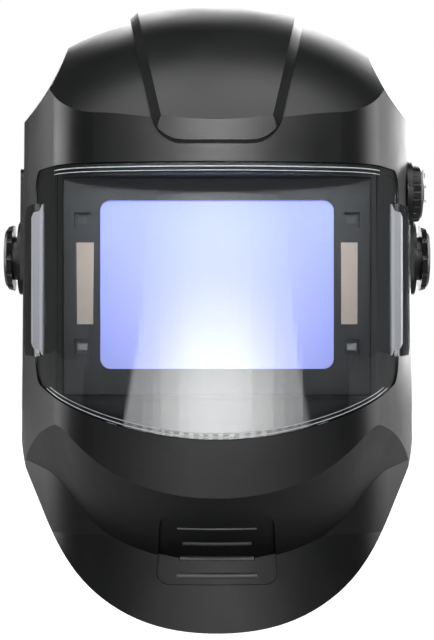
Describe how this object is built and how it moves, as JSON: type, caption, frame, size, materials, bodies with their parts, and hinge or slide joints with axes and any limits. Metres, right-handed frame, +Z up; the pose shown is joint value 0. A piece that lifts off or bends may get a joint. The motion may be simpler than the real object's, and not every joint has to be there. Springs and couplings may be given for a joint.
{
  "type": "welding helmet",
  "caption": "Auto-darkening welding helmet: flip-up shell with wrap-round clear lens, filter cartridge, side pivots, shade dial and ratchet headgear.",
  "frame": {"origin": "middle of the tilt axis, between the wearer's ears, where the head sits", "axes": "+Z up along the standing head, -Y the way the mask faces, +X towards the wearer's left"},
  "size_m": [0.2312, 0.2826, 0.3226],
  "materials": {
    "shell_nylon": "satin, fine moulded grain",
    "frame_nylon": "matt",
    "clear_lens": "polished clear polycarbonate",
    "filter_glass": "blue-violet coated glass",
    "cartridge_plastic": "matt",
    "gasket_rubber": "matt",
    "solar_cell": "satin beige film",
    "sensor_dark": "gloss",
    "board_green": "solder mask",
    "led_green": "clear tinted",
    "control_plastic": "satin",
    "dial_plastic": "satin",
    "pot_body": "satin",
    "cable_jacket": "satin",
    "steel": "zinc plated",
    "washer_rubber": "matt",
    "headgear_plastic": "satin",
    "ratchet_plastic": "satin",
    "brow_fabric": "soft knit"
  },
  "bodies": {
    "headgear": {"headband": "headgear_plastic", "brow_pad": "brow_fabric", "rear_pad": "brow_fabric", "crown_strap_left": "headgear_plastic", "crown_strap_right": "headgear_plastic", "crown_peg": "headgear_plastic", "side_plate_left": "headgear_plastic", "side_plate_right": "headgear_plastic", "ratchet_housing": "headgear_plastic"},
    "ratchet": {"ratchet_knob": "ratchet_plastic", "ratchet_pinion": "ratchet_plastic", "ratchet_screw": "steel"},
    "rack_left_body": {"rack_left": "headgear_plastic"},
    "rack_right_body": {"rack_right": "headgear_plastic"},
    "carriers": {"carrier_left": "headgear_plastic", "carrier_right": "headgear_plastic", "pivot_stud_left": "steel", "pivot_stud_right": "steel", "pivot_washer_left": "washer_rubber", "pivot_washer_right": "washer_rubber"},
    "tension_left": {"tension_knob_left": "dial_plastic"},
    "tension_right": {"tension_knob_right": "dial_plastic"},
    "dial": {"shade_dial": "dial_plastic"},
    "sensitivity": {"sensitivity_knob": "control_plastic"},
    "delay": {"delay_knob": "control_plastic"},
    "switch": {"mode_switch": "control_plastic"},
    "button": {"test_button": "control_plastic"},
    "tray_left": {"battery_tray_left": "cartridge_plastic", "coin_cell_left": "steel"},
    "tray_right": {"battery_tray_right": "cartridge_plastic", "coin_cell_right": "steel"},
    "shell": {"arc_sensor_lower_left": "sensor_dark", "arc_sensor_lower_right": "sensor_dark", "arc_sensor_upper_left": "sensor_dark", "arc_sensor_upper_right": "sensor_dark", "cable_clip": "frame_nylon", "cartridge_front_case": "cartridge_plastic", "cartridge_gasket": "gasket_rubber", "cartridge_rear_case": "cartridge_plastic", "circuit_board": "board_green", "cover_lens": "clear_lens", "filter_glass": "filter_glass", "filter_retainer": "frame_nylon", "helmet_shell": "shell_nylon", "inner_cover_lens": "clear_lens", "lens_frame": "frame_nylon", "retainer_screw_lower_left": "steel", "retainer_screw_lower_right": "steel", "retainer_screw_upper_left": "steel", "retainer_screw_upper_right": "steel", "shade_cable": "cable_jacket", "shade_pot": "pot_body", "solar_cell_left": "solar_cell", "solar_cell_right": "solar_cell", "status_led": "led_green", "tilt_stop_left": "frame_nylon", "tilt_stop_right": "frame_nylon", "vent_screen": "gasket_rubber"}
  },
  "joints": [
    {"name": "distance_slide", "type": "slide", "parent": "headgear", "child": "carriers", "axis": [0, -1, 0], "range_m": [-0.01, 0.01]},
    {"name": "helmet_tilt", "type": "hinge", "parent": "carriers", "child": "shell", "pos_m": [0, 0, 0], "axis": [-1, 0, 0], "range_deg": [0, 70]},
    {"name": "tension_left_turn", "type": "hinge", "parent": "carriers", "child": "tension_left", "pos_m": [0.11, 0, 0], "axis": [1, 0, 0], "continuous": true},
    {"name": "tension_right_turn", "type": "hinge", "parent": "carriers", "child": "tension_right", "pos_m": [-0.11, 0, 0], "axis": [-1, 0, 0], "continuous": true},
    {"name": "shade_dial_turn", "type": "hinge", "parent": "shell", "child": "dial", "pos_m": [0.101, -0.05, 0.032], "axis": [1, 0, 0], "range_deg": [-135, 135]},
    {"name": "sensitivity_turn", "type": "hinge", "parent": "shell", "child": "sensitivity", "pos_m": [-0.025, -0.117, -0.0615], "axis": [0, 1, 0], "range_deg": [-135, 135]},
    {"name": "delay_turn", "type": "hinge", "parent": "shell", "child": "delay", "pos_m": [0.025, -0.117, -0.0615], "axis": [0, 1, 0], "range_deg": [-135, 135]},
    {"name": "mode_slide", "type": "slide", "parent": "shell", "child": "switch", "axis": [1, 0, 0], "range_m": [-0.002, 0.002]},
    {"name": "test_press", "type": "slide", "parent": "shell", "child": "button", "axis": [0, -1, 0], "range_m": [0, 0.001], "stiffness_N_per_m": 400},
    {"name": "tray_left_slide", "type": "slide", "parent": "shell", "child": "tray_left", "axis": [0, 1, 0], "range_m": [0, 0.008]},
    {"name": "tray_right_slide", "type": "slide", "parent": "shell", "child": "tray_right", "axis": [0, 1, 0], "range_m": [0, 0.008]},
    {"name": "ratchet_turn", "type": "hinge", "parent": "headgear", "child": "ratchet", "pos_m": [0, 0, 0.007], "axis": [0, 0.9632, -0.2689], "range_deg": [-120, 120]},
    {"name": "rack_left_wrap", "type": "hinge", "parent": "headgear", "child": "rack_left_body", "pos_m": [0, 0.03275, -0.00214], "axis": [0, 0.2689, 0.9632], "range_deg": [-8.58, 8.58]},
    {"name": "rack_right_wrap", "type": "hinge", "parent": "headgear", "child": "rack_right_body", "pos_m": [0, 0.03275, -0.00214], "axis": [0, 0.2689, 0.9632], "range_deg": [-8.58, 8.58]}
  ],
  "couplings": [
    {"joint": "rack_left_wrap", "follows": "ratchet_turn", "ratio": -0.071429},
    {"joint": "rack_right_wrap", "follows": "ratchet_turn", "ratio": 0.071429}
  ]
}
